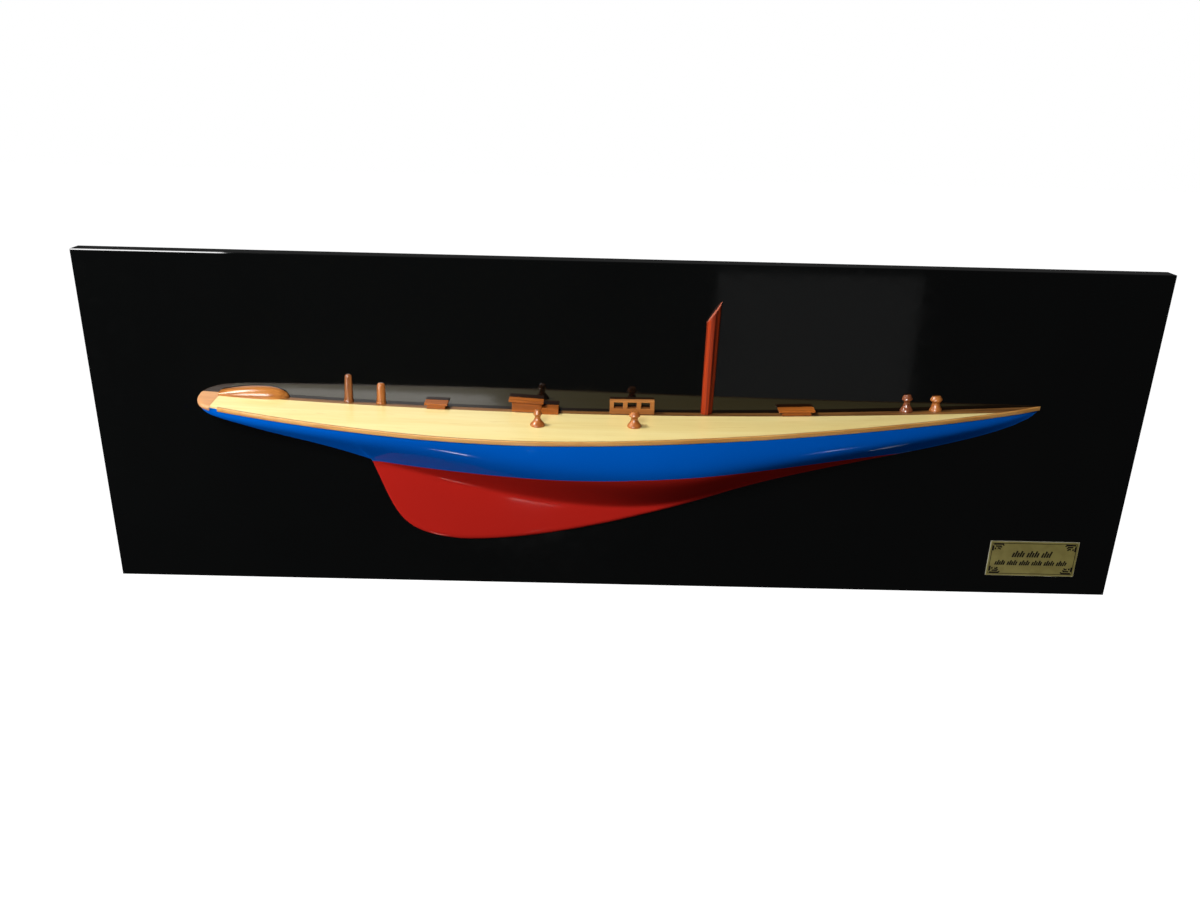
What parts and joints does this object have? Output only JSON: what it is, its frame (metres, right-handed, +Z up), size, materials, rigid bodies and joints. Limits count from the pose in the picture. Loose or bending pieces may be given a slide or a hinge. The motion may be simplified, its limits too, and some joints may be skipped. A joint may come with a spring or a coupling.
{
  "type": "ship half hull model",
  "caption": "Carved half hull of a long-ended racing sloop with deck, deckhouses, dinghy and cut mast, mounted on a black backboard with a nameplate.",
  "frame": {"origin": "middle of the backboard's back face, on the wall", "axes": "+X along the board from the stern to the bow, +Y into the wall, +Z up; the carved side faces -Y"},
  "size_m": [1.01, 0.0959, 0.332],
  "materials": {
    "board_lacquer": "black piano lacquer",
    "plate_brass": "satin, engraved",
    "hull_paint": "gloss paint, blue over red",
    "deck_wood": "clear satin varnish",
    "plank_wood": "clear satin varnish",
    "rail_wood": "clear satin varnish",
    "stern_wood": "clear satin varnish",
    "house_wood": "clear gloss varnish",
    "turned_wood": "clear satin varnish",
    "mast_wood": "mahogany stain, gloss varnish"
  },
  "bodies": {
    "root": {"backboard": "board_lacquer", "nameplate": "plate_brass", "hull": "hull_paint", "stern_cap": "stern_wood", "deck": "deck_wood", "king_plank": "plank_wood", "rub_rail": "rail_wood", "dinghy": "house_wood", "tall_post": "turned_wood", "short_post": "turned_wood", "aft_hatch_coaming": "house_wood", "aft_hatch_lid": "house_wood", "companionway_house": "house_wood", "companionway_roof": "house_wood", "companionway_box": "house_wood", "skylight": "house_wood", "mast_stub": "mast_wood", "fore_hatch_coaming": "house_wood", "fore_hatch_lid": "house_wood", "capstan_aft": "turned_wood", "capstan_fore": "turned_wood", "bitt_aft": "turned_wood", "bitt_fore": "turned_wood"}
  },
  "joints": []
}
